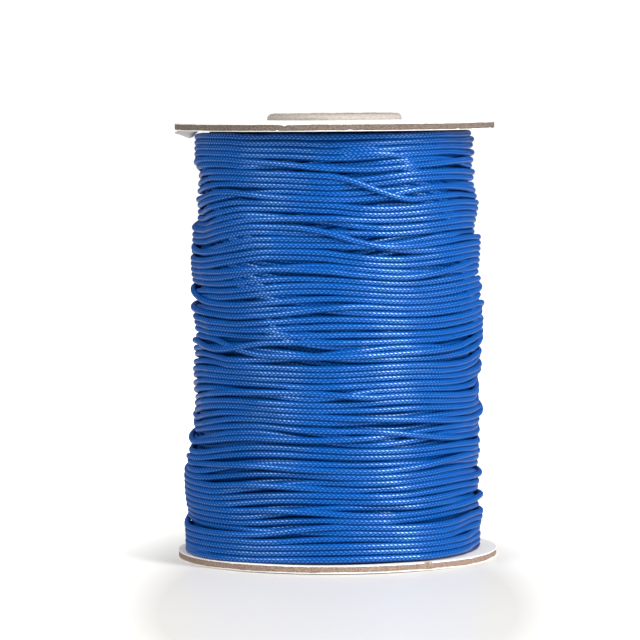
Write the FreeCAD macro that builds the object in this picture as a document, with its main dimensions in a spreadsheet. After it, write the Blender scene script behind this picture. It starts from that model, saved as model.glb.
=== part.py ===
"""Spool of braided, waxed polyester cord on a cardboard core.

Two die-cut greyboard flanges, each faced with white paper on both sides, are glued on a spiral-wound
paperboard tube. The tube ends flush under the bottom flange and stands a little proud of the top one,
where its rim is rounded. The full winding has pushed the top flange into a shallow dish, higher at its
hole than at its rim. The cord is wound on the tube between the flanges, its start held by tape.

Millimetres. +Z runs up the core's axis. The origin is the centre of the face the spool stands on.
"""

import FreeCAD
import Part
import Sketcher
import os

doc = FreeCAD.newDocument("cord_spool")

# ---------------------------------------------------------------- driving dimensions
DIMENSIONS = [
    ("flange_dia", 76.0, "diameter of both flanges"),
    ("spool_height", 103.4, "outer face of one flange to outer face of the other, at the rim"),
    ("board_thick", 1.5, "greyboard disc"),
    ("facing_thick", 0.15, "white paper on each face of a disc"),
    ("tube_dia", 32.0, "outside of the core tube"),
    ("wrap_thick", 0.35, "outer ply of the core tube"),
    ("core_thick", 1.3, "middle plies of the core tube"),
    ("liner_thick", 0.35, "inner ply of the core tube"),
    ("top_dish", 0.5, "rise of the top flange from its rim to its hole"),
    ("tube_proud", 1.5, "core tube above the top flange's hole"),
    ("rim_round", 1.3, "rounding on the outside of the proud rim"),
    ("flange_fit", 0.1, "radial room between the core tube and a flange's hole, filled with glue"),
    ("glue_leg", 1.4, "leg of the glue fillet inside each flange"),
    ("tape_thick", 0.12, "tape over the cord's start"),
    ("tape_width", 12.0, "tape along the core"),
    ("tape_above", 8.0, "tape above the bottom flange"),
    ("tape_turn", 110.0, "degrees of the core that the tape covers"),
    ("wound_low_dia", 69.8, "winding at the bottom flange"),
    ("wound_mid_dia", 69.0, "winding half-way up"),
    ("wound_top_dia", 66.6, "winding at the top flange"),
]

sheet = doc.addObject("Spreadsheet::Sheet", "dims")
for row, (alias, value, meaning) in enumerate(DIMENSIONS, start=1):
    sheet.set(f"A{row}", str(value))
    sheet.setAlias(f"A{row}", alias)
    sheet.set(f"B{row}", meaning)
doc.recompute()

# Radii and heights that several pieces share, as expressions on the sheet.
FLANGE = "(dims.board_thick + 2 * dims.facing_thick)"
RIM_R = "(dims.flange_dia / 2)"
TUBE_R = "dims.tube_dia / 2"
MIDDLE_R = f"({TUBE_R} - dims.wrap_thick)"
LINER_R = f"({MIDDLE_R} - dims.core_thick)"
BORE_R = f"({LINER_R} - dims.liner_thick)"
HOLE_R = f"({TUBE_R} + dims.flange_fit)"
SPREAD_R = f"({HOLE_R} + dims.glue_leg)"
TUBE_TOP = "(dims.spool_height + dims.top_dish + dims.tube_proud)"
WOUND_LOW = FLANGE
WOUND_HIGH = f"(dims.spool_height - {FLANGE})"


def dished(height, radius):
    """The height at a radius of a face of the top flange that is at `height` at the rim."""
    return f"({height} + dims.top_dish * ({RIM_R} - {radius}) / ({RIM_R} - {HOLE_R}))"


def measure(expression):
    """The number that an expression on the sheet has now."""
    return float(sheet.evalExpression(expression))


def origin_plane(body, role):
    """One of a body's own origin planes, by its role."""
    for feature in body.Origin.OriginFeatures:
        if feature.Role == role:
            return feature
    raise LookupError(role)


def new_sketch(body, name, role):
    """A sketch attached to one of the body's origin planes."""
    sketch = body.newObject("Sketcher::SketchObject", name)
    sketch.AttachmentSupport = (origin_plane(body, role), [""])
    sketch.MapMode = "FlatFace"
    return sketch


def bind_circle(sketch, radius):
    """A circle about the sketch's origin whose radius is an expression."""
    centre = FreeCAD.Vector(0, 0, 0)
    up = FreeCAD.Vector(0, 0, 1)
    circle = sketch.addGeometry(Part.Circle(centre, up, measure(radius)), False)
    sketch.addConstraint(Sketcher.Constraint("Coincident", circle, 3, -1, 1))
    bound = sketch.addConstraint(Sketcher.Constraint("Radius", circle, measure(radius)))
    sketch.setExpression(f"Constraints[{bound}]", radius)


def bind_outline(sketch, corners):
    """A closed outline of straight lines; each corner is a pair of expressions, radius and height."""
    points = [FreeCAD.Vector(measure(radius), measure(height), 0) for radius, height in corners]
    count = len(points)
    for i in range(count):
        sketch.addGeometry(Part.LineSegment(points[i], points[(i + 1) % count]), False)
    for i in range(count):
        sketch.addConstraint(Sketcher.Constraint("Coincident", i, 2, (i + 1) % count, 1))
    for i, (radius, height) in enumerate(corners):
        across = sketch.addConstraint(Sketcher.Constraint("DistanceX", -1, 1, i, 1, points[i].x))
        sketch.setExpression(f"Constraints[{across}]", radius)
        up = sketch.addConstraint(Sketcher.Constraint("DistanceY", -1, 1, i, 1, points[i].y))
        sketch.setExpression(f"Constraints[{up}]", height)


def ring_pad(label, outer, inner, thickness, bottom):
    """A flat ring padded upwards from the height `bottom`."""
    body = doc.addObject("PartDesign::Body", label)
    body.Label = label
    sketch = new_sketch(body, f"{label}_sketch", "XY_Plane")
    bind_circle(sketch, outer)
    bind_circle(sketch, inner)
    pad = body.newObject("PartDesign::Pad", f"{label}_pad")
    pad.Profile = sketch
    pad.setExpression("Length", thickness)
    body.setExpression("Placement.Base.z", bottom)
    return body


def ring_turned(label, corners):
    """An outline of radii and heights turned about the core's axis."""
    body = doc.addObject("PartDesign::Body", label)
    body.Label = label
    sketch = new_sketch(body, f"{label}_sketch", "XZ_Plane")
    bind_outline(sketch, corners)
    turned = body.newObject("PartDesign::Revolution", f"{label}_turned")
    turned.Profile = sketch
    turned.ReferenceAxis = (sketch, ["V_Axis"])
    turned.Angle = 360
    return body


# ---------------------------------------------------------------- core tube
def tube_outline():
    """The whole tube wall with its rounded top rim: the shape that the plies are trimmed to."""
    body = ring_turned(
        "tube_outline",
        [(BORE_R, "0"), (TUBE_R, "0"), (TUBE_R, TUBE_TOP), (BORE_R, TUBE_TOP)],
    )
    doc.recompute()
    rim = [
        f"Edge{i}"
        for i, edge in enumerate(body.Tip.Shape.Edges, start=1)
        if len(edge.Vertexes) == 1
        and abs(edge.BoundBox.ZMin - measure(TUBE_TOP)) < 1e-4
        and abs(edge.BoundBox.XMax - measure(TUBE_R)) < 1e-4
    ]
    rounding = body.newObject("PartDesign::Fillet", "rim_rounding")
    rounding.Base = (body.getObject("tube_outline_turned"), rim)
    rounding.setExpression("Radius", "dims.rim_round")
    body.Tip = rounding
    return body


def tube_ply(label, outer, inner, outline):
    """One ply of the tube, trimmed by the tube's outline."""
    blank = ring_pad(f"{label}_blank", outer, inner, TUBE_TOP, "0")
    ply = doc.addObject("Part::Common", label)
    ply.Label = label
    ply.Base = blank
    ply.Tool = outline
    return ply


outline = tube_outline()
core_tube = [
    tube_ply("core_tube_inner_ply", LINER_R, BORE_R, outline),
    tube_ply("core_tube_middle_plies", MIDDLE_R, LINER_R, outline),
    tube_ply("core_tube_outer_ply", TUBE_R, MIDDLE_R, outline),
]


# ---------------------------------------------------------------- flanges
def flat_layer(label, low, thickness):
    """A layer of the bottom flange, flat."""
    return ring_pad(label, RIM_R, HOLE_R, thickness, low)


def dished_layer(label, low, thickness):
    """A layer of the top flange, whose two faces rise together from the rim to the hole."""
    high = f"({low} + {thickness})"
    return ring_turned(
        label,
        [(HOLE_R, dished(low, HOLE_R)), (RIM_R, low), (RIM_R, high), (HOLE_R, dished(high, HOLE_R))],
    )


def flange(side, layer, lowest):
    """A greyboard disc between its two paper facings, counted upwards from the height `lowest`."""
    under, over = ("outer", "inner") if side == "bottom" else ("inner", "outer")
    board_low = f"({lowest} + dims.facing_thick)"
    over_low = f"({board_low} + dims.board_thick)"
    return [
        layer(f"{side}_flange_{under}_paper", lowest, "dims.facing_thick"),
        layer(f"{side}_flange_board", board_low, "dims.board_thick"),
        layer(f"{side}_flange_{over}_paper", over_low, "dims.facing_thick"),
    ]


bottom_flange = flange("bottom", flat_layer, "0")
top_flange = flange("top", dished_layer, WOUND_HIGH)


# ---------------------------------------------------------------- glue rings
def glue_ring(label, outer_face, corner, spread_end, toe):
    """Glue that fills a flange's fit on the tube and ends in a fillet in the corner inside."""
    return ring_turned(
        label,
        [
            (TUBE_R, outer_face),
            (HOLE_R, outer_face),
            (HOLE_R, corner),
            (SPREAD_R, spread_end),
            (TUBE_R, toe),
        ],
    )


TOP_CORNER = dished(WOUND_HIGH, HOLE_R)
TOP_SPREAD = dished(WOUND_HIGH, SPREAD_R)
LOW_TOE = f"({WOUND_LOW} + dims.glue_leg)"
TOP_TOE = f"({TOP_CORNER} - dims.glue_leg)"
BOARD_TOP = dished("(dims.spool_height - dims.facing_thick)", HOLE_R)

glue_rings = [
    glue_ring("bottom_glue_ring", "dims.facing_thick", WOUND_LOW, WOUND_LOW, LOW_TOE),
    glue_ring("top_glue_ring", BOARD_TOP, TOP_CORNER, TOP_SPREAD, TOP_TOE),
]


# ---------------------------------------------------------------- tape over the cord's start
def arc_block(name, radius):
    """A sector of a cylinder as tall and as wide in angle as the tape, starting from +X."""
    block = doc.addObject("Part::Cylinder", name)
    block.setExpression("Radius", radius)
    block.setExpression("Height", "dims.tape_width")
    block.setExpression("Angle", "dims.tape_turn")
    block.setExpression("Placement.Base.z", f"{WOUND_LOW} + dims.tape_above")
    return block


tape = doc.addObject("Part::Cut", "start_tape")
tape.Label = "start_tape"
tape.Base = arc_block("tape_block", f"{TUBE_R} + dims.tape_thick")
tape.Tool = arc_block("tape_inside", TUBE_R)


# ---------------------------------------------------------------- the cord, wound
def winding():
    """The wound cord as one closed solid of its outer shape, around the glue fillets and the tape."""
    top_r = "dims.wound_top_dia / 2"
    whole = ring_turned(
        "cord_winding_blank",
        [
            (SPREAD_R, WOUND_LOW),
            ("dims.wound_low_dia / 2", WOUND_LOW),
            ("dims.wound_mid_dia / 2", "dims.spool_height / 2"),
            (top_r, dished(WOUND_HIGH, top_r)),
            (SPREAD_R, TOP_SPREAD),
            (TUBE_R, TOP_TOE),
            (TUBE_R, LOW_TOE),
        ],
    )
    wound = doc.addObject("Part::Cut", "cord_winding")
    wound.Label = "cord_winding"
    wound.Base = whole
    wound.Tool = tape
    return wound


cord = winding()

# ---------------------------------------------------------------- check and write
doc.recompute()
for item in doc.Objects:
    if {"Invalid", "Error"} & set(item.State):
        raise RuntimeError(f"{item.Label} failed: {item.State}")

pieces = core_tube + bottom_flange + top_flange + glue_rings + [tape, cord]
os.makedirs("parts", exist_ok=True)
for piece in pieces:
    shape = piece.Shape
    if shape.isNull() or not shape.isValid() or len(shape.Solids) != 1:
        raise RuntimeError(f"{piece.Label} is not one valid solid")
for piece in pieces:
    piece.Shape.exportStep(f"parts/{piece.Label}.step")
    low, high = piece.Shape.BoundBox.ZMin, piece.Shape.BoundBox.ZMax
    print(f"{piece.Label:28s} {piece.Shape.Volume:12.1f} mm3   z {low:7.2f} to {high:7.2f}")
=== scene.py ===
"""A spool of braided waxed cord on a cardboard core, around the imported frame.

Metres, in the frame's own axes: +Z runs up the core, the bottom flange rests on z = 0, and the front
of the spool faces -Y.
"""

import bpy
import math
from mathutils import Matrix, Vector
import numpy as np


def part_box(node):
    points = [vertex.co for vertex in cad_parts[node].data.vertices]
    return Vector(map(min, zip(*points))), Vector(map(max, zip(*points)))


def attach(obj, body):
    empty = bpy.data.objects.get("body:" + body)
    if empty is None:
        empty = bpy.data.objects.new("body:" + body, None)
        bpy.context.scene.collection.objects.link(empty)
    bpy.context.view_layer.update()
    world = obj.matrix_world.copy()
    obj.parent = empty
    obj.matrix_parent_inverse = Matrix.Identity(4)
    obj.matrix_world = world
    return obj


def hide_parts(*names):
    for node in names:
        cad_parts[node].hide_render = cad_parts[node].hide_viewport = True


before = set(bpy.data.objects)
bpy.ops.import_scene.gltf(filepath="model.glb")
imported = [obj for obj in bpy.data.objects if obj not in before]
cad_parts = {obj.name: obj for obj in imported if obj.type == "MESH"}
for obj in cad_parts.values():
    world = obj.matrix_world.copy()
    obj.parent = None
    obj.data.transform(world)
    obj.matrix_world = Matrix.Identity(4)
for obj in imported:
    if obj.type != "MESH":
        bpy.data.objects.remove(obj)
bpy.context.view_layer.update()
MM = 0.001


# ------------------------------------------------------------------------------------------------
# The core tube
# Paperboard ribbons wound in a spiral and glued: a pale kraft liner in the bore, grey board plies and
# an outer wrap. It is cut square, and its proud end has been rounded over the die of the press.
# ------------------------------------------------------------------------------------------------
def add(tree, kind, *sources, into=(), **settings):
    """Adds a node with its settings; each source, a value or an output, goes to the next input."""
    made = tree.nodes.new(kind)
    for key, value in settings.items():
        setattr(made, key, value)
    pairs = [(made.inputs[i], source) for i, source in enumerate(sources)]
    pairs += [(made.inputs[key], source) for key, source in dict(into).items()]
    for socket, source in pairs:
        if isinstance(source, bpy.types.NodeSocket):
            tree.links.new(source, socket)
        elif source is not None:
            socket.default_value = source
    return made


def colour(code):
    """A linear colour from an sRGB hex value."""
    parts = [int(code[i:i + 2], 16) / 255 for i in (1, 3, 5)]
    return [p / 12.92 if p <= 0.04045 else ((p + 0.055) / 1.055) ** 2.4 for p in parts] + [1.0]


def new_material(name):
    """An empty node material with its shader, linked to the output."""
    material = bpy.data.materials.new(name)
    material.use_nodes = True
    tree = material.node_tree
    tree.nodes.clear()
    shader = tree.nodes.new("ShaderNodeBsdfPrincipled")
    add(tree, "ShaderNodeOutputMaterial", shader.outputs[0])
    return material, tree, shader


def chain(tree, start, *steps):
    """Math nodes in a row: each step is an operation and its other values, and works on the last result."""
    for operation, *values in steps:
        start = add(tree, "ShaderNodeMath", start, *values, operation=operation).outputs[0]
    return start


def step(x):
    """A smooth step from 0 to 1 as x goes from 0 to 1."""
    x = np.clip(x, 0, 1)
    return x * x * (3 - 2 * x)


def turned(name, outline, columns, shift=None):
    """A closed outline of (radius, height) turned about the core, as a smooth ring of quads.

    shift(front, radius, height) gives what to add to each radius and height; front is the angle in
    degrees from the front of the spool, rising to its right.
    """
    around = np.arange(columns) * (360 / columns) - 180
    radius = np.tile(np.array([r for r, z in outline]), (columns, 1))
    height = np.tile(np.array([z for r, z in outline]), (columns, 1))
    if shift:
        out, up = shift(around[:, None], radius, height)
        radius, height = radius + out, height + up
    turn = np.radians(around)[:, None]
    points = np.stack([radius * np.sin(turn), -radius * np.cos(turn), height], axis=2).reshape(-1, 3)
    rows = len(outline)
    faces = []
    for i in range(columns):
        here, there = i * rows, ((i + 1) % columns) * rows
        for j in range(rows):
            k = (j + 1) % rows
            faces.append((here + j, there + j, there + k, here + k))
    mesh = bpy.data.meshes.new(name)
    mesh.from_pydata(points.tolist(), [], faces)
    mesh.shade_smooth()
    mesh.set_sharp_from_angle(angle=math.radians(40))
    piece = bpy.data.objects.new(name, mesh)
    bpy.context.scene.collection.objects.link(piece)
    return piece


def stand_for(piece, node, material):
    """Dresses a piece, puts it on the spool's one body, and lets it stand for a CAD node."""
    piece.data.materials.append(material)
    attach(piece, "root")
    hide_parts(node)


def ripple(seed, count, finest, coarsest):
    """A random wobble round the spool, between -1 and 1, from `count` waves of whole numbers round."""
    draw = np.random.default_rng(seed)
    numbers = draw.integers(finest, coarsest, count)
    phases = draw.uniform(0, 2 * math.pi, count)

    def at(front, level=0.0):
        turn = np.radians(front)
        total = sum(np.sin(n * turn + p + level * (1 + i)) for i, (n, p) in enumerate(zip(numbers, phases)))
        return total / (1.6 * math.sqrt(count))
    return at


def spiral_joint(tree, place, pitch):
    """1 on the joint between the edges of a ribbon wound round the Z axis at a pitch, and 0 off it."""
    parts = add(tree, "ShaderNodeSeparateXYZ", place)
    turn = add(tree, "ShaderNodeMath", parts.outputs[1], parts.outputs[0], operation="ARCTAN2").outputs[0]
    rise = chain(tree, parts.outputs[2], ("DIVIDE", pitch))
    off = chain(tree, turn, ("DIVIDE", 2 * math.pi), ("ADD", rise), ("FRACT",), ("SUBTRACT", 0.5),
                ("ABSOLUTE",), ("MULTIPLY", pitch))
    return add(tree, "ShaderNodeMapRange", off, into={
        "From Min": 0.15 * MM, "From Max": 0.5 * MM, "To Min": 1.0, "To Max": 0.0}).outputs[0]


def paperboard(name, light, dark, grain, depth, ribbon=None):
    """Pressed waste-paper pulp: dull, matt, with darker and lighter fibre flecks of `grain` metres.

    With `ribbon`, it is a ribbon wound at that pitch, and shows its spiral joint as a dark groove.
    """
    material, tree, shader = new_material(name)
    place = add(tree, "ShaderNodeTexCoord").outputs["Object"]
    flat = add(tree, "ShaderNodeMapping", place, into={"Scale": (1, 1, 3.2)})
    flecks = add(tree, "ShaderNodeTexNoise", flat.outputs[0], into={
        "Scale": 1 / grain, "Detail": 5.0, "Roughness": 0.7})
    shade = flecks.outputs["Fac"]
    if ribbon:
        open_width = chain(tree, spiral_joint(tree, place, ribbon), ("MULTIPLY_ADD", -0.6, 1.0))
        shade = chain(tree, shade, ("MULTIPLY", open_width))
    ramp = add(tree, "ShaderNodeValToRGB", shade)
    ramp.color_ramp.elements[0].position = 0.36
    ramp.color_ramp.elements[0].color = colour(dark)
    ramp.color_ramp.elements[1].position = 0.6
    ramp.color_ramp.elements[1].color = colour(light)
    tree.links.new(ramp.outputs[0], shader.inputs["Base Color"])
    shader.inputs["Roughness"].default_value = 0.9
    shader.inputs["Specular IOR Level"].default_value = 0.25
    bump = add(tree, "ShaderNodeBump", into={"Strength": 0.7, "Distance": depth, "Height": shade})
    tree.links.new(bump.outputs[0], shader.inputs["Normal"])
    return material


tube_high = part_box("core_tube_inner_ply")[1]
TUBE_TOP = tube_high[2]
BORE_R = 14.0 * MM
LINER_R = tube_high[0]
MIDDLE_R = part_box("core_tube_middle_plies")[1][0]
TUBE_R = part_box("core_tube_outer_ply")[1][0]
RIM_ROUND = 1.3 * MM
PAPER_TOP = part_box("top_flange_outer_paper")[1][2]


def rim(radius):
    """The height of the rounded rim at a radius."""
    past = max(0.0, radius - (TUBE_R - RIM_ROUND))
    return TUBE_TOP - RIM_ROUND + math.sqrt(max(0.0, RIM_ROUND ** 2 - past ** 2))


def ply(name, inside, outside, shift=None):
    """One ply of the tube: a thin sleeve whose top follows the rounded rim."""
    steps = 6
    over = [inside + (outside - inside) * i / steps for i in range(steps + 1)]
    sides = [rim(outside) - t * MM for t in (0.3, 0.5, 0.7, 0.9, 1.1, 1.5, 3.0)]
    outline = [(r, rim(r)) for r in over] + [(outside, z) for z in sides if z < rim(outside)]
    outline += [(outside, 0.0), (inside, 0.0)]
    return turned(name, outline[::-1], 240, shift)


rough_rim = ripple(3, 9, 3, 60)


def wear_rim(front, radius, height):
    """A slight waviness of the cut end, and none lower down."""
    near = step((height - PAPER_TOP) / (1.2 * MM))
    return 0 * radius, near * 0.05 * MM * rough_rim(front)


def lift_wrap(front, radius, height):
    """The wrap's lower edge has sprung a little at the front left, just above the flange."""
    out, up = wear_rim(front, radius, height)
    where = step((front + 34) / 8) * (1 - step((front + 8) / 8))
    ledge = np.exp(-((height - PAPER_TOP - 0.55 * MM) / (0.2 * MM)) ** 2)
    return out + 0.2 * MM * where * ledge * (radius > MIDDLE_R + 0.1 * MM), up


stand_for(ply("tube_liner", BORE_R, LINER_R, wear_rim), "core_tube_inner_ply",
          paperboard("kraft_liner", "#A89C8A", "#806F5B", 0.9 * MM, 0.04 * MM, ribbon=62 * MM))
stand_for(ply("tube_board", LINER_R, MIDDLE_R, wear_rim), "core_tube_middle_plies",
          paperboard("grey_tube_board", "#9C948A", "#7C7268", 0.5 * MM, 0.03 * MM))
stand_for(ply("tube_wrap", MIDDLE_R, TUBE_R, lift_wrap), "core_tube_outer_ply",
          paperboard("pale_tube_wrap", "#A19B95", "#8B847B", 0.8 * MM, 0.03 * MM, ribbon=74 * MM))

# ------------------------------------------------------------------------------------------------
# The flange boards
# Greyboard of 1.5 mm, stamped out by a steel rule die. The blade leaves the cut edge torn in layers,
# with brown and grey fibres on show, and presses its corners slightly round.
# ------------------------------------------------------------------------------------------------
FLANGE_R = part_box("bottom_flange_outer_paper")[1][0]
HOLE_R = TUBE_R + 0.1 * MM
PRESSED = 0.1 * MM
TOP_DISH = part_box("top_flange_outer_paper")[1][2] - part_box("top_flange_outer_paper")[0][2] - 0.15 * MM


def dish(radius, side):
    """How far the top flange stands above its rim's level at a radius; the bottom one is flat."""
    return TOP_DISH * (FLANGE_R - radius) / (FLANGE_R - HOLE_R) if side == "top" else 0.0 * radius


def curl(front, radius, side):
    """The bottom flange's front edge has curled a little off the floor; the top one's hasn't."""
    if side == "top":
        return 0.0 * radius
    return 0.2 * MM * np.exp(-((front + 2) / 45) ** 4) * step((radius - 30 * MM) / (8 * MM))


def board(side, low, thickness, seed):
    """A flange's board, with torn layers on its cut edge."""
    edge = FLANGE_R - PRESSED
    layers = 12
    outline = [(HOLE_R, thickness), (HOLE_R, 0.0), ((HOLE_R + edge) / 2, 0.0), (edge - 1.2 * MM, 0.0)]
    outline += [(edge, thickness * (i + 0.5) / layers) for i in range(layers)]
    outline += [(edge - 1.2 * MM, thickness), ((HOLE_R + edge) / 2, thickness)]
    fine = [ripple(seed + i, 12, 40, 700) for i in range(layers)]
    broad = ripple(seed + 99, 10, 4, 60)

    def tear(front, radius, height):
        level = np.clip((height / thickness * layers - 0.5).round().astype(int), 0, layers - 1)
        rough = sum(np.where(level == i, fine[i](front), 0) for i in range(layers))
        corner = np.abs(height / thickness * 2 - 1) ** 6
        on_edge = radius > edge - 0.1 * MM
        out = on_edge * (0.05 * MM * rough + 0.03 * MM * broad(front, level) - 0.12 * MM * corner)
        bruise = np.exp(-((front - 33.5) / 2.6) ** 2) if side == "bottom" else 0
        out = out + on_edge * 0.12 * MM * bruise
        up = on_edge * (height > 0.8 * thickness) * 0.4 * MM * bruise
        return out, low + dish(radius, side) + curl(front, radius, side) + up

    return turned(f"{side}_board", outline, 1440, tear)


# Both boards are one greyboard in two copies: the top one's colours are painted darker as shade, and the
# bottom one's lighter as light.
for side, seed, light, dark in (("bottom", 200, "#9E887A", "#54443A"), ("top", 300, "#7D7066", "#3B312B")):
    node = f"{side}_flange_board"
    low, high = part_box(node)
    thickness = high[2] - low[2] - (TOP_DISH if side == "top" else 0.0)
    painted_light_greyboard = paperboard(f"{side}_greyboard", light, dark, 0.45 * MM, 0.05 * MM)
    stand_for(board(side, low[2], thickness, seed), node, painted_light_greyboard)

# ------------------------------------------------------------------------------------------------
# The white facings
# Smooth white paper glued on both faces of each board before stamping. The die drags its edge over
# the corner of the board, and leaves it ragged, with a few torn flakes.
# ------------------------------------------------------------------------------------------------
def facing(name, side, low, thickness, outside, lip, seed, peel=0.0):
    """A facing. Its free face looks up where `outside` is 1, and down where it is -1.

    `lip` is how far the die has dragged its edge over the board, and `peel` how far it has come loose
    at the left, past the winding.
    """
    reach = FLANGE_R
    radii = [HOLE_R, 24 * MM, 30 * MM, 33 * MM, 33.6 * MM, 34.2 * MM, 34.8 * MM, 35.5 * MM, 36.3 * MM,
             37.0 * MM, 37.6 * MM, reach - 0.05 * MM]
    outline = [(r, thickness) for r in radii] + [(reach, thickness * 0.6)]
    outline += [(reach, -0.06 * MM), (reach - PRESSED, -0.07 * MM), (reach - PRESSED, 0.0)]
    outline += [(r, 0.0) for r in radii[-2::-1]]
    ragged = ripple(seed, 16, 30, 420)
    broad = ripple(seed + 1, 6, 3, 25)
    flakes = np.random.default_rng(seed + 2)
    torn = []
    for _ in range(16):
        torn.append((flakes.uniform(-180, 180), flakes.uniform(0.3, 1.0), flakes.uniform(0.06, 0.2) * MM))

    def drag(front, radius, height):
        over = (height < -0.05 * MM) & (radius > reach - 0.2 * MM)
        flake = sum(size * np.exp(-((front - at) / wide) ** 2) for at, wide, size in torn)
        hang = lip * (1 + 2 * broad(front)) + 0.05 * MM * ragged(front) + flake
        down = np.where(over, -np.clip(hang, -0.04 * MM, 0.6 * MM), 0)
        at_rim = radius > reach - 0.2 * MM
        out = np.where(at_rim, 0.04 * MM * ragged(front, 2.0) - 0.03 * MM, 0)
        sag = 0.0
        if peel:
            loose = np.exp(-((front + 92) / 13) ** 4)
            fray = 1 + 0.18 * ragged(front, 1.0)
            past_cord = step((radius - 33.1 * MM) / (0.9 * MM))
            sag = peel * fray * loose * past_cord * (1.15 - 0.7 * step((radius - 34 * MM) / (4 * MM)))
        if outside > 0:
            level = low + height + down
        else:
            level = low + thickness - height - down
        return out, level - height + dish(radius, side) + curl(front, radius, side) - sag

    return turned(name, outline if outside < 0 else outline[::-1], 1080, drag)


def white_paper():
    """Uncoated white facing paper: matt, a touch warm, faintly mottled by the board under it."""
    material, tree, shader = new_material("matt_white_paper")
    place = add(tree, "ShaderNodeTexCoord").outputs["Object"]
    mottle = add(tree, "ShaderNodeTexNoise", place, into={"Scale": 1 / (2.5 * MM), "Detail": 4.0})
    ramp = add(tree, "ShaderNodeValToRGB", mottle.outputs["Fac"])
    ramp.color_ramp.elements[0].color = colour("#D0CDC9")
    ramp.color_ramp.elements[1].color = colour("#E0DEDA")
    tree.links.new(ramp.outputs[0], shader.inputs["Base Color"])
    shader.inputs["Roughness"].default_value = 0.75
    fibre = add(tree, "ShaderNodeTexNoise", place, into={"Scale": 1 / (0.25 * MM), "Detail": 3.0})
    bump = add(tree, "ShaderNodeBump", into={
        "Strength": 0.4, "Distance": 0.02 * MM, "Height": fibre.outputs["Fac"]})
    tree.links.new(bump.outputs[0], shader.inputs["Normal"])
    return material


facing_paper = white_paper()
for node, side, outside, lip, seed, peel in (
    ("bottom_flange_outer_paper", "bottom", -1, 0.08 * MM, 11, 0.0),
    ("bottom_flange_inner_paper", "bottom", 1, 0.0, 21, 0.0),
    ("top_flange_inner_paper", "top", -1, -0.03 * MM, 31, 1.45 * MM),
    ("top_flange_outer_paper", "top", 1, 0.02 * MM, 41, 0.0),
):
    low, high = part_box(node)
    thickness = high[2] - low[2] - (TOP_DISH if side == "top" else 0.0)
    name = node.replace("_flange_", "_").replace("paper", "facing")
    made = facing(name, side, low[2], thickness, outside, lip, seed, peel)
    stand_for(made, node, facing_paper)

# ------------------------------------------------------------------------------------------------
# The glue rings and the start tape
# White glue fills the gap between each flange and the tube and dries in a fillet inside; a strip of
# film tape holds the cord's start on the tube. The winding hides all three.
# ------------------------------------------------------------------------------------------------
def plain_finish(name, code, roughness, mottle_size):
    """A dried glue or a film, one colour with a faint mottle in its gloss."""
    material, tree, shader = new_material(name)
    shader.inputs["Base Color"].default_value = colour(code)
    place = add(tree, "ShaderNodeTexCoord").outputs["Object"]
    mottle = add(tree, "ShaderNodeTexNoise", place, into={"Scale": 1 / mottle_size, "Detail": 2.0})
    gloss = add(tree, "ShaderNodeMapRange", mottle.outputs["Fac"], into={
        "To Min": roughness - 0.1, "To Max": roughness + 0.1})
    tree.links.new(gloss.outputs[0], shader.inputs["Roughness"])
    return material


for node, finish in (
    ("bottom_glue_ring", plain_finish("dried_white_glue", "#E4DCC4", 0.45, 2 * MM)),
    ("top_glue_ring", bpy.data.materials["dried_white_glue"]),
    ("start_tape", plain_finish("buff_film_tape", "#CDB184", 0.3, 3 * MM)),
):
    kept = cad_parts[node]
    kept.data.materials.clear()
    kept.data.materials.append(finish)

# ------------------------------------------------------------------------------------------------
# The wound cord
# About 130 m of 1.5 mm polyester cord, plaited from eight carriers round a core and drawn through
# wax. The winder lays it turn beside turn, up and down the core, under light tension, so each turn
# rests on the turns below it and spans the hollows between them.
# ------------------------------------------------------------------------------------------------
CORD = 1.5 * MM
COLUMNS = 240
WOUND_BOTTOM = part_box("cord_winding")[0][2]
WOUND_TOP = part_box("top_flange_inner_paper")[0][2]
WOUND_HEIGHT = WOUND_TOP - WOUND_BOTTOM
front = np.arange(COLUMNS) * (360 / COLUMNS) - 180
angles = np.radians(front)
random = np.random.default_rng(41)


def wound_radius(z, angle=0.0):
    """The middle of the outermost turns: slim at the top, most so at its left, full at the lower
    left, and pressed forward over the bottom flange. The sizes in it are in millimetres.
    """
    share = np.clip((z - WOUND_BOTTOM) / WOUND_HEIGHT, 0, 1)
    outside = np.interp(share, [0, 0.5, 0.85, 1.0], [34.7, 34.5, 33.9, 33.3])
    low = np.exp(-np.clip(z - WOUND_BOTTOM, 0, None) / (9 * MM))
    high = np.exp(-np.clip(WOUND_TOP - z, 0, None) / (9 * MM))
    bulge = 3.4 * low * np.clip(np.cos(angle + 0.35), 0, 1) ** 1.5
    hollow = 1.5 * high * np.clip(-np.sin(angle), 0, 1)
    full = 1.2 * np.exp(-((z - 17 * MM) / (12 * MM)) ** 2) * np.clip(-np.sin(angle), 0, 1)
    return (outside + bulge + full - hollow) * MM - CORD / 2


def waves(count, tallest, shortest):
    """Random slow waves over angle and height: a list of turns, wave number up, phase and size."""
    found = []
    for _ in range(count):
        around = int(random.integers(1, 5))
        up = 2 * math.pi / random.uniform(shortest, 3 * shortest)
        found.append((around, up, random.uniform(0, 2 * math.pi), tallest * random.uniform(0.3, 1)))
    return found


def sum_waves(found, angle, z):
    """The sum of those waves at an angle and a height."""
    total = np.zeros(np.broadcast(angle, z).shape)
    for around, up, phase, size in found:
        total += size * np.sin(around * angle + up * z + phase)
    return total


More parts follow.
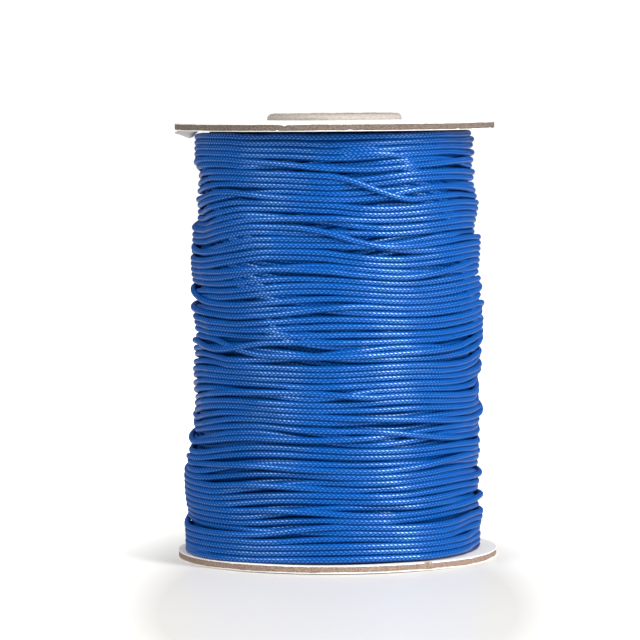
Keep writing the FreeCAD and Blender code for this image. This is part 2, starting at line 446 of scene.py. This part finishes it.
def helix(turns, rising, drift, jitter):
    """Heights of a layer's turns, as turns by columns: a helix with the winder's slow drift on it."""
    pitch = (WOUND_HEIGHT - CORD) / turns
    along = np.arange(turns)[:, None] + (angles[None, :] + math.pi) / (2 * math.pi)
    z = WOUND_BOTTOM + CORD / 2 + pitch * along
    if not rising:
        z = WOUND_TOP - CORD / 2 - pitch * along
    # The flanges guide the cord straight, so the wobble dies out over the last 8 mm.
    ends = step((z - WOUND_BOTTOM) / (8 * MM)) * step((WOUND_TOP - z) / (8 * MM))
    z = z + ends * sum_waves(drift, angles[None, :], z)
    own = np.zeros(turns * COLUMNS)
    flat = along.ravel() * 2 * math.pi
    for _ in range(7):
        size = jitter * random.uniform(0.3, 1)
        own += size * np.sin(random.uniform(0.15, 3.4) * flat + random.uniform(0, 6.3))
    return z + ends * own.reshape(z.shape)


def spread(z, apart):
    """Moves crowded turns of a layer so that each keeps its distance from the next, between flanges."""
    room = np.arange(len(z))[:, None] * apart
    lowest = WOUND_BOTTOM + CORD / 2
    highest = WOUND_TOP - CORD / 2 - room[-1]
    from_below = np.maximum.accumulate(np.maximum(z, lowest) - room, axis=0)
    from_above = np.minimum.accumulate((np.minimum(z, WOUND_TOP - CORD / 2) - room)[::-1], axis=0)[::-1]
    from_below = np.minimum(from_below, highest)
    from_above = np.maximum(from_above, lowest)
    return (from_below + from_above) / 2 + room


def swap(z, turn, crossed, start, span, back, back_span):
    """Lets a turn slip down over the turns laid before it, and climb back over them further round."""
    down = step((front - start) / span) * (1 - step((front - back) / back_span))
    was = z.copy()
    z[turn] += (was[turn - crossed] - was[turn]) * down
    z[turn - crossed:turn] += (was[turn - crossed + 1:turn + 1] - was[turn - crossed:turn]) * down


# Two turns under tension flatten where they touch: what is left of the cord's width and of its depth.
PRESSED_WIDTH = 0.93 * CORD
PRESSED_DEPTH = 0.84 * CORD


def contact(z, under_z, under_r, mask=None):
    """How high a turn has to lie to clear the turns under it, which give a little where they touch."""
    apart = np.abs(z[:, None, :] - under_z[None, :, :]) / PRESSED_WIDTH
    lift = PRESSED_DEPTH * np.sqrt(np.clip(1 - apart ** 2, 0, 1))
    reach = np.where(apart < 1, under_r[None, :, :] + lift, 0)
    if mask is not None:
        reach = np.where(mask[:, :, None], reach, 0)
    return reach.max(axis=1)


def settle(z, base, under):
    """The radii of a layer: each turn rests on what is under it and is pulled straight between."""
    turns = len(z)
    order = np.arange(turns)
    earlier = (order[:, None] > order[None, :]) & (order[:, None] - order[None, :] < 9)
    floor = base
    if under is not None:
        floor = np.maximum(floor, contact(z, *under))
    r = floor.copy()
    straight = math.cos(2 * math.pi / COLUMNS)
    # Each round rests the turns on each other, then pulls the cord tight over what holds it up.
    for _ in range(5):
        need = np.maximum(floor, contact(z, z, r, earlier)).ravel()
        line = np.maximum(need, r.ravel())
        for _ in range(160):
            pulled = line.copy()
            pulled[1:-1] = 0.5 * (line[:-2] + line[2:]) * straight
            line = np.maximum(need, pulled)
        r = line.reshape(z.shape)
    return r


TURNS = round(WOUND_HEIGHT / (1.5 * MM))
under_z = helix(TURNS, False, waves(7, 0.6 * MM, 40 * MM), 0.10 * MM)
swell = waves(9, 0.14 * MM, 9 * MM)
# The layer below lies nearly a cord deeper, because its turns nest between those of the outer one.
under_base = wound_radius(under_z, angles[None, :]) - 1.3932 * CORD
under_base += sum_waves(swell, angles[None, :], under_z)
under_r = settle(under_z, under_base, None)

outer_z = helix(TURNS, True, waves(8, 0.7 * MM, 40 * MM), 0.15 * MM)
# Places where a run of turns leans: height, angle from the front, how far it is moved, and its spread.
for height, angle, moved, tall, wide in (
    (85 * MM, -72, -1.2 * MM, 8 * MM, 40),
    (88 * MM, -4, 1.5 * MM, 7 * MM, 30),
    (78 * MM, -80, -0.8 * MM, 8 * MM, 35),
    (77 * MM, -10, 1.0 * MM, 7 * MM, 30),
    (51 * MM, 8, -1.1 * MM, 6 * MM, 22),
    (34 * MM, -30, 0.9 * MM, 7 * MM, 30),
    (29 * MM, 35, -0.8 * MM, 6 * MM, 25),
):
    outer_z += moved * np.exp(-((outer_z - height) / tall) ** 2 - ((front[None, :] - angle) / wide) ** 2)
outer_z = spread(outer_z, 0.90 * CORD)
# The first turn is squeezed down onto the bottom flange.
outer_z[0] -= 0.08 * CORD


def turn_at(height):
    """The outer layer's turn that passes the front of the spool at a height."""
    return int(round((height - WOUND_BOTTOM) / WOUND_HEIGHT * TURNS))


# Where the cord crosses back over turns already laid: height, turns crossed, the angle from the front
# where it starts and how far it takes, and the same for its climb back.
for height, crossed, start, span, back, back_span in (
    (91 * MM, 4, -4, 38, 130, 40),
    (78 * MM, 2, -17, 37, 120, 50),
    (65 * MM, 2, -95, 36, 60, 80),
    (50.5 * MM, 1, -84, 44, 20, 70),
    (41 * MM, 1, -12, 30, 95, 40),
    (31 * MM, 2, 6, 60, 140, 30),
    (20 * MM, 1, -50, 50, 60, 60),
    (58 * MM, 2, 70, 50, 140, 30),
    (86 * MM, 1, -60, 40, 10, 50),
    (25 * MM, 2, -165, 40, -110, 35),
    (70 * MM, 2, 100, 40, 145, 30),
):
    swap(outer_z, turn_at(height), crossed, start, span, back, back_span)
# And many shallow ones, wherever the winder's guide wavered.
for i in range(14):
    turn = 3 + int((TURNS - 6) * (i + random.uniform(0.1, 0.9)) / 14)
    start = random.uniform(-175, 20)
    swap(outer_z, turn, 1, start, random.uniform(45, 80), start + 85, random.uniform(35, 70))
outer_r = settle(outer_z, wound_radius(outer_z, angles[None, :]) - 2 * CORD, (under_z, under_r))
# A turn that rides high is pulled down into its neighbours, which flatten under it.
FREE_RIDE = 0.2 * MM
ride = outer_r - wound_radius(outer_z, angles[None, :])
outer_r -= np.where(ride > FREE_RIDE, 0.65 * (ride - FREE_RIDE), 0)
# The layer below ends at the bottom flange, where the same cord climbs up to begin this one.
climb = step((front + 180) / 50)
outer_r[0] = under_r[-1, -1] + (outer_r[0] - under_r[-1, -1]) * climb


def guide(name, angle, radius, height):
    """An open curve through points given by their angle from the front, radius and height."""
    points = np.ones((len(height), 4))
    points[:, 0] = radius * np.sin(angle)
    points[:, 1] = -radius * np.cos(angle)
    points[:, 2] = height
    curve = bpy.data.curves.new(name, "CURVE")
    curve.dimensions = "3D"
    spline = curve.splines.new("POLY")
    spline.points.add(len(points) - 1)
    spline.points.foreach_set("co", points.ravel())
    piece = bpy.data.objects.new(name, curve)
    bpy.context.scene.collection.objects.link(piece)
    return piece


# The plait: the length of a stitch and the gap after it, the rows round the cord, and how far a
# stitch leans over the width of its row, as a share of that length.
PLAIT = 1.07 * MM
ROWS = 8
LEAN = 0.55


def plait(tree, along, around):
    """The height of the plait, 0 to 1, at a place along the cord in metres and a share of its round.

    Eight rows of stitches, each half a stitch on from its neighbours and leaning the other way.
    """
    row = chain(tree, around, ("MULTIPLY", float(ROWS)))
    odd = chain(tree, row, ("FLOOR",), ("FLOORED_MODULO", 2.0))
    across = chain(tree, row, ("FRACT",), ("SUBTRACT", 0.5))
    lean = chain(tree, odd, ("MULTIPLY_ADD", -2 * LEAN, LEAN), ("MULTIPLY", across))
    beat = chain(tree, along, ("DIVIDE", PLAIT), ("ADD", lean))
    wave = chain(tree, odd, ("MULTIPLY_ADD", 0.5, beat), ("MULTIPLY", 2 * math.pi), ("COSINE",),
                 ("MULTIPLY_ADD", 0.5, 0.5))
    crown = chain(tree, across, ("MULTIPLY", math.pi), ("COSINE",))
    return chain(tree, wave, ("MULTIPLY", crown), ("POWER", 0.9))


def cord_tree():
    """Geometry nodes that sweep a plaited cord along a curve."""
    tree = bpy.data.node_groups.new("plaited_cord", "GeometryNodeTree")
    for name, kind in (
        ("Path", "NodeSocketGeometry"),
        ("Diameter", "NodeSocketFloat"),
        ("Step", "NodeSocketFloat"),
        ("Sides", "NodeSocketInt"),
        ("Relief", "NodeSocketFloat"),
        ("Material", "NodeSocketMaterial"),
    ):
        tree.interface.new_socket(name, in_out="INPUT", socket_type=kind)
    tree.interface.new_socket("Cord", in_out="OUTPUT", socket_type="NodeSocketGeometry")
    given = add(tree, "NodeGroupInput").outputs

    even = add(tree, "GeometryNodeResampleCurve", into={
        "Curve": given["Path"], "Length": given["Step"]}, mode="LENGTH")
    level = add(tree, "GeometryNodeSetCurveNormal", even.outputs[0], mode="Z_UP")
    path = add(tree, "GeometryNodeCaptureAttribute", level.outputs[0])
    path.capture_items.new("FLOAT", "Along")
    tree.links.new(add(tree, "GeometryNodeSplineParameter").outputs["Length"], path.inputs[1])

    ring = add(tree, "GeometryNodeCurvePrimitiveCircle", into={"Resolution": given["Sides"]}, mode="RADIUS")
    section = add(tree, "GeometryNodeCaptureAttribute", ring.outputs[0])
    section.capture_items.new("FLOAT", "Around")
    tree.links.new(add(tree, "GeometryNodeSplineParameter").outputs["Factor"], section.inputs[1])
    # A share of 0.5 faces out of the winding. Two thirds of the sides are on that half, which shows.
    closer = tree.nodes.new("ShaderNodeFloatCurve")
    for place in ((1 / 6, 0.25), (5 / 6, 0.75)):
        closer.mapping.curves[0].points.new(*place)
    for point in closer.mapping.curves[0].points:
        point.handle_type = "VECTOR"
    tree.links.new(section.outputs[1], closer.inputs["Value"])
    share = closer.outputs[0]
    turn = chain(tree, share, ("MULTIPLY", 2 * math.pi), ("ADD", math.pi))
    cosine = chain(tree, turn, ("COSINE",))
    sine = chain(tree, turn, ("SINE",))
    radius = chain(tree, given["Diameter"], ("MULTIPLY", 0.5))
    across = add(tree, "ShaderNodeMath", cosine, radius, operation="MULTIPLY")
    up = add(tree, "ShaderNodeMath", sine, radius, operation="MULTIPLY")
    placed = add(tree, "ShaderNodeCombineXYZ", across.outputs[0], up.outputs[0], 0.0)
    profile = add(tree, "GeometryNodeSetPosition", into={
        "Geometry": section.outputs[0], "Position": placed.outputs[0]})

    swept = add(tree, "GeometryNodeCurveToMesh", into={
        "Curve": path.outputs[0], "Profile Curve": profile.outputs[0], "Fill Caps": True})
    height = plait(tree, path.outputs[1], share)
    relief = add(tree, "ShaderNodeMath", height, given["Relief"], operation="MULTIPLY").outputs[0]
    outward = add(tree, "ShaderNodeVectorMath", add(tree, "GeometryNodeInputNormal").outputs[0],
                  into={"Scale": relief}, operation="SCALE")
    raised = add(tree, "GeometryNodeSetPosition", into={
        "Geometry": swept.outputs[0], "Offset": outward.outputs[0]})
    # The chart holds the place round the cord as a cosine and a sine, which have no jump at the seam.
    chart = add(tree, "ShaderNodeCombineXYZ", path.outputs[1], cosine, sine)
    mapped = add(tree, "GeometryNodeStoreNamedAttribute", into={
        "Geometry": raised.outputs[0], "Name": "cord_chart", "Value": chart.outputs[0]},
        data_type="FLOAT_VECTOR", domain="POINT")
    smooth = add(tree, "GeometryNodeSetShadeSmooth", mapped.outputs[0])
    real = add(tree, "GeometryNodeRealizeInstances", smooth.outputs[0])
    dressed = add(tree, "GeometryNodeSetMaterial", into={
        "Geometry": real.outputs[0], "Material": given["Material"]})
    add(tree, "NodeGroupOutput", dressed.outputs[0])
    return tree


def run_nodes(piece, tree, values):
    """Gives a piece a node tree's result as its plain mesh. Values are by input name."""
    modifier = piece.modifiers.new(tree.name, "NODES")
    modifier.node_group = tree
    for socket in tree.interface.items_tree:
        if socket.in_out == "INPUT" and socket.name in values:
            modifier[socket.identifier] = values[socket.name]
    evaluated = piece.evaluated_get(bpy.context.evaluated_depsgraph_get())
    mesh = bpy.data.meshes.new_from_object(evaluated)
    made = bpy.data.objects.new(piece.name, mesh)
    name = piece.name
    bpy.data.objects.remove(piece)
    made.name = name
    mesh.name = name
    bpy.context.scene.collection.objects.link(made)
    return made


def waxed_cord():
    """Plaited polyester, drawn through wax: deep blue yarns under a soft, slightly uneven shine.

    The crowns of the stitches shine, and more than bare polyester (IOR 1.6) would. The grooves between them
    are painted shade: a darker blue, and a shine turned down nearly to nothing.
    """
    material, tree, shader = new_material("waxed_blue_braid")
    chart = add(tree, "ShaderNodeAttribute", attribute_name="cord_chart")
    parts = add(tree, "ShaderNodeSeparateXYZ", chart.outputs["Vector"])
    turn = add(tree, "ShaderNodeMath", parts.outputs[2], parts.outputs[1], operation="ARCTAN2").outputs[0]
    share = chain(tree, turn, ("DIVIDE", 2 * math.pi), ("ADD", 0.5))
    height = plait(tree, parts.outputs[0], share)
    # The darker blue of the grooves in this ramp is painted shade.
    ramp = add(tree, "ShaderNodeValToRGB", height)
    ramp.color_ramp.elements[0].position = 0.05
    ramp.color_ramp.elements[0].color = colour("#003883")
    ramp.color_ramp.elements[1].position = 0.6
    ramp.color_ramp.elements[1].color = colour("#05539B")
    tree.links.new(ramp.outputs[0], shader.inputs["Base Color"])
    shader.inputs["IOR"].default_value = 1.8
    # Turning the shine down in the grooves is painted shade as well.
    shine = add(tree, "ShaderNodeMapRange", height, into={
        "From Min": 0.32, "From Max": 0.85, "To Min": 0.05, "To Max": 1.0})
    tree.links.new(shine.outputs[0], shader.inputs["Specular IOR Level"])
    shader.inputs["Specular Tint"].default_value = colour("#BFE2FF")
    place = add(tree, "ShaderNodeTexCoord").outputs["Object"]
    wax = add(tree, "ShaderNodeTexNoise", place, into={"Scale": 1 / (7 * MM), "Detail": 2.0})
    rough = add(tree, "ShaderNodeMapRange", wax.outputs["Fac"], into={
        "From Min": 0.3, "From Max": 0.7, "To Min": 0.27, "To Max": 0.42})
    tree.links.new(rough.outputs[0], shader.inputs["Roughness"])
    bump = add(tree, "ShaderNodeBump", into={"Strength": 0.5, "Distance": 0.03 * MM, "Height": height})
    tree.links.new(bump.outputs[0], shader.inputs["Normal"])
    return material


cord_nodes = cord_tree()
cord_material = waxed_cord()


def lay(path, **values):
    """Sweeps the cord along a path and lets it stand for a part of the winding."""
    piece = run_nodes(path, cord_nodes, {"Diameter": CORD, "Material": cord_material} | values)
    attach(piece, "root")
    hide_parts("cord_winding")
    return piece


def wind(name, z, r, bands, **values):
    """The cord of a layer, cut in bands of turns so that no piece is too heavy."""
    edges = np.linspace(0, len(z), bands + 1).round().astype(int)
    angle = np.append(np.tile(angles, len(z)), math.pi)
    height = np.append(z.ravel(), z[-1, -1])
    radius = np.append(r.ravel(), r[-1, -1])
    for i in range(bands):
        run = slice(edges[i] * COLUMNS, edges[i + 1] * COLUMNS + 1)
        lay(guide(f"{name}_{i + 1}", angle[run], radius[run], height[run]), **values)


wind("outer_turns", outer_z, outer_r, 7, Step=PLAIT / 4, Sides=12, Relief=0.02 * MM)
wind("under_turns", under_z, under_r, 1, Step=1.5 * MM, Sides=10, Relief=0.0)

# The free end leaves the last turn at the back, turns down and goes in under the turns below.
tail = np.linspace(0, 1, 60)
tail_angle = math.pi + np.radians(46) * tail
tail_height = outer_z[-1, -1] - 3.6 * CORD * step(tail / 0.85)
over = step(tail / 0.25) * (1 - step((tail - 0.62) / 0.38))
under = step((tail - 0.66) / 0.34)
tail_radius = outer_r[-1, -1] + PRESSED_DEPTH * over - 1.2 * CORD * under
lay(guide("cord_end", tail_angle, tail_radius, tail_height), Step=PLAIT / 4, Sides=12, Relief=0.02 * MM)

# The layers below those two, seen only as dark ribs through the gaps between the turns.
ribs = TURNS - 3
inner = [(TUBE_R, WOUND_TOP), (TUBE_R, WOUND_BOTTOM)]
for i in range(ribs * 4 + 1):
    z = WOUND_BOTTOM + WOUND_HEIGHT * i / (ribs * 4)
    rib = (0.0, 0.36, 0.5, 0.36)[i % 4] * CORD
    inner.append((wound_radius(z) - 2.3 * CORD + rib, z))
inner_layers = turned("cord_inner_layers", inner, 120)
stand_for(inner_layers, "cord_winding",
          plain_finish("shaded_blue_braid", "#00225E", 0.5, 0.8 * MM))

# ------------------------------------------------------------------------------------------------
# The stage: a pale floor, soft light and the camera
# ------------------------------------------------------------------------------------------------
scene = bpy.context.scene
scene.view_settings.view_transform = "Standard"

floor_mesh = bpy.data.meshes.new("floor")
floor_mesh.from_pydata([(-3, -3, 0), (3, -3, 0), (3, 3, 0), (-3, 3, 0)], [], [(0, 1, 2, 3)])
floor = bpy.data.objects.new("floor", floor_mesh)
scene.collection.objects.link(floor)
floor_material, floor_tree, floor_shader = new_material("white_sheet_painted_glow")
floor_shader.inputs["Base Color"].default_value = colour("#CCCAC6")
floor_shader.inputs["Roughness"].default_value = 0.35
floor_shader.inputs["Emission Color"].default_value = colour("#FFFFFF")
# A glow that only the camera sees paints the sheet white: a painted glow. Over an oval patch before the
# spool it fades away, a painted shadow where the lamps alone light the floor.
painted_shadow_oval = add(floor_tree, "ShaderNodeMapping", add(floor_tree, "ShaderNodeTexCoord").outputs["Object"],
            into={"Location": (0.0, 0.6, 0.0), "Scale": (1 / 0.048, 1 / 0.14, 1.0)})
away = add(floor_tree, "ShaderNodeVectorMath", painted_shadow_oval.outputs[0], operation="LENGTH")
painted_glow = add(floor_tree, "ShaderNodeMapRange", away.outputs["Value"], into={
    "From Min": 0.8, "From Max": 1.6, "To Min": 0.05, "To Max": 1.0})
lit = add(floor_tree, "ShaderNodeMath", add(floor_tree, "ShaderNodeLightPath").outputs["Is Camera Ray"],
          painted_glow.outputs[0], operation="MULTIPLY")
floor_tree.links.new(lit.outputs[0], floor_shader.inputs["Emission Strength"])
floor_mesh.materials.append(floor_material)

world = bpy.data.worlds.new("studio")
scene.world = world
world.use_nodes = True
sky = world.node_tree
sky.nodes.clear()
# The studio's walls give a low fill; to the camera the backdrop is white.
seen = add(sky, "ShaderNodeLightPath")
white = add(sky, "ShaderNodeBackground", colour("#FFFFFF"), 1.05)
fill = add(sky, "ShaderNodeBackground", colour("#FFFFFF"), 0.1)
both = add(sky, "ShaderNodeMixShader", seen.outputs["Is Camera Ray"], fill.outputs[0], white.outputs[0])
add(sky, "ShaderNodeOutputWorld", both.outputs[0])


def softbox(name, azimuth, elevation, distance, width, height, watts):
    """A rectangular soft light aimed at the middle of the spool. Azimuth 0 is in front of it."""
    light = bpy.data.lights.new(name, "AREA")
    light.shape = "RECTANGLE"
    light.size = width
    light.size_y = height
    light.energy = watts
    lamp = bpy.data.objects.new(name, light)
    scene.collection.objects.link(lamp)
    turn, lift = math.radians(azimuth), math.radians(elevation)
    away = (math.sin(turn) * math.cos(lift), -math.cos(turn) * math.cos(lift), math.sin(lift))
    lamp.location = [a * distance for a in away]
    lamp.location[2] += 0.05
    lamp.rotation_euler = (math.pi / 2 - lift, 0, turn)
    return lamp


# The last two only fill: they are kept out of reflections, which show the two side lights alone.
softbox("right_softbox", 50, 26, 1.2, 0.36, 1.1, 28)
softbox("left_softbox", -52, 26, 1.2, 0.55, 1.1, 13)
behind = softbox("back_softbox", 180, 25, 1.3, 1.0, 0.6, 5)
behind.visible_glossy = False
overhead = softbox("top_softbox", 0, 84, 1.4, 2.0, 2.0, 12.5)
overhead.visible_glossy = False

camera_data = bpy.data.cameras.new("camera")
camera = bpy.data.objects.new("camera", camera_data)
scene.collection.objects.link(camera)
camera_data.sensor_width = 36
camera_data.lens = 213.75
camera_data.clip_start = 0.01
camera.rotation_mode = "XYZ"
CAMERA_DISTANCE = 0.904
CAMERA_HEIGHT = 0.1131
camera.location = (0, -CAMERA_DISTANCE, CAMERA_HEIGHT)
tilt, yaw, roll = math.radians(-3.6), math.radians(0.24), math.radians(-0.43)
aim = Matrix.Rotation(yaw, 4, "Z") @ Matrix.Rotation(math.pi / 2 + tilt, 4, "X")
camera.matrix_world = Matrix.Translation(camera.location) @ aim @ Matrix.Rotation(roll, 4, "Z")
scene.camera = camera
